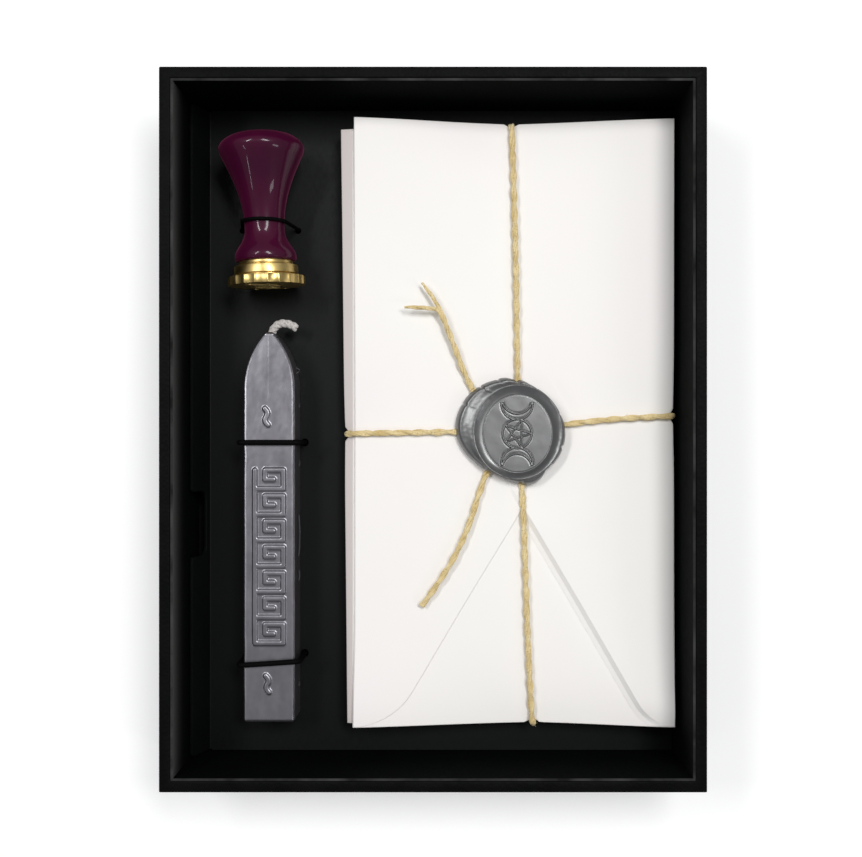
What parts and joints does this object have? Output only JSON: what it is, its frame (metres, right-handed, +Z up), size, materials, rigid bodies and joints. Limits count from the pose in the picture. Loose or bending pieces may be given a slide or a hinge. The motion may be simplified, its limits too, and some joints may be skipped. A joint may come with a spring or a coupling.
{
  "type": "wax seal set in a presentation box",
  "caption": "Shallow lidless black presentation box with a lift-out card that holds a brass seal stamp, a wicked wax stick and twine-tied envelopes closed with a wax seal.",
  "frame": {"origin": "centre of the tray's underside, on the surface that it lies on", "axes": "+Z up out of the open box, +Y along its length towards the stamp's handle, +X across towards the envelopes"},
  "size_m": [0.134, 0.1774, 0.034],
  "materials": {
    "grey_board": "raw board",
    "stay_paper": "kraft tape",
    "grained_paper": "black, finely grained",
    "lining_paper": "black, matt",
    "liner_card": "black, satin",
    "black_card": "black, satin",
    "elastic": "black round elastic",
    "plum_lacquer": "plum gloss lacquer",
    "steel": "zinc plated",
    "brass": "polished",
    "stick_wax": "silver-grey wax, satin",
    "cotton": "braided cotton",
    "white_paper": "white, smooth",
    "twine": "straw-coloured two-ply twine",
    "seal_wax": "silver-grey wax, satin"
  },
  "bodies": {
    "tray": {"tray_board": "grey_board", "corner_stays": "stay_paper", "tray_wrap": "grained_paper", "floor_paper": "lining_paper", "wall_liner": "liner_card"},
    "insert": {"insert_card": "black_card", "stamp_tie": "elastic", "wax_tie_upper": "elastic", "wax_tie_lower": "elastic"},
    "flap": {"pull_flap": "black_card"},
    "stamp": {"stamp_handle": "plum_lacquer", "head_stud": "steel"},
    "collar": {"collar_ring": "brass"},
    "head": {"seal_head": "brass"},
    "stick": {"wax_bar": "stick_wax", "wick": "cotton"},
    "bundle": {"envelope_1": "white_paper", "envelope_2": "white_paper", "envelope_3": "white_paper", "envelope_4": "white_paper", "envelope_5": "white_paper", "twine_loop_long": "twine", "twine_loop_short": "twine", "twine_knot": "twine", "twine_tail_upper": "twine", "twine_tail_lower": "twine", "wax_seal": "seal_wax"}
  },
  "joints": [
    {"name": "insert_lift", "type": "slide", "parent": "tray", "child": "insert", "axis": [0, 0, 1], "range_m": [0, 0.04]},
    {"name": "flap_fold", "type": "hinge", "parent": "insert", "child": "flap", "pos_m": [-0.0599, 0, 0.0076], "axis": [0, 1, 0], "range_deg": [0, 48]},
    {"name": "stamp_lift", "type": "slide", "parent": "insert", "child": "stamp", "axis": [0, 0, 1], "range_m": [0, 0.045], "deforming": ["stamp_tie"]},
    {"name": "head_turn", "type": "hinge", "parent": "stamp", "child": "collar", "pos_m": [-0.0429, 0.0371, 0.0182], "axis": [0.0372, -0.9989, -0.0285], "range_deg": [0, 1800]},
    {"name": "head_back_off", "type": "slide", "parent": "collar", "child": "head", "axis": [0.0372, -0.9989, -0.0285], "range_m": [0, 0.004]},
    {"name": "wax_lift", "type": "slide", "parent": "insert", "child": "stick", "axis": [0, 0, 1], "range_m": [0, 0.045], "deforming": ["wax_tie_upper", "wax_tie_lower"]},
    {"name": "bundle_lift", "type": "slide", "parent": "insert", "child": "bundle", "axis": [0, 0, 1], "range_m": [0, 0.045]}
  ],
  "couplings": [
    {"joint": "head_back_off", "follows": "head_turn", "m_per_rad": 0.00012732}
  ]
}
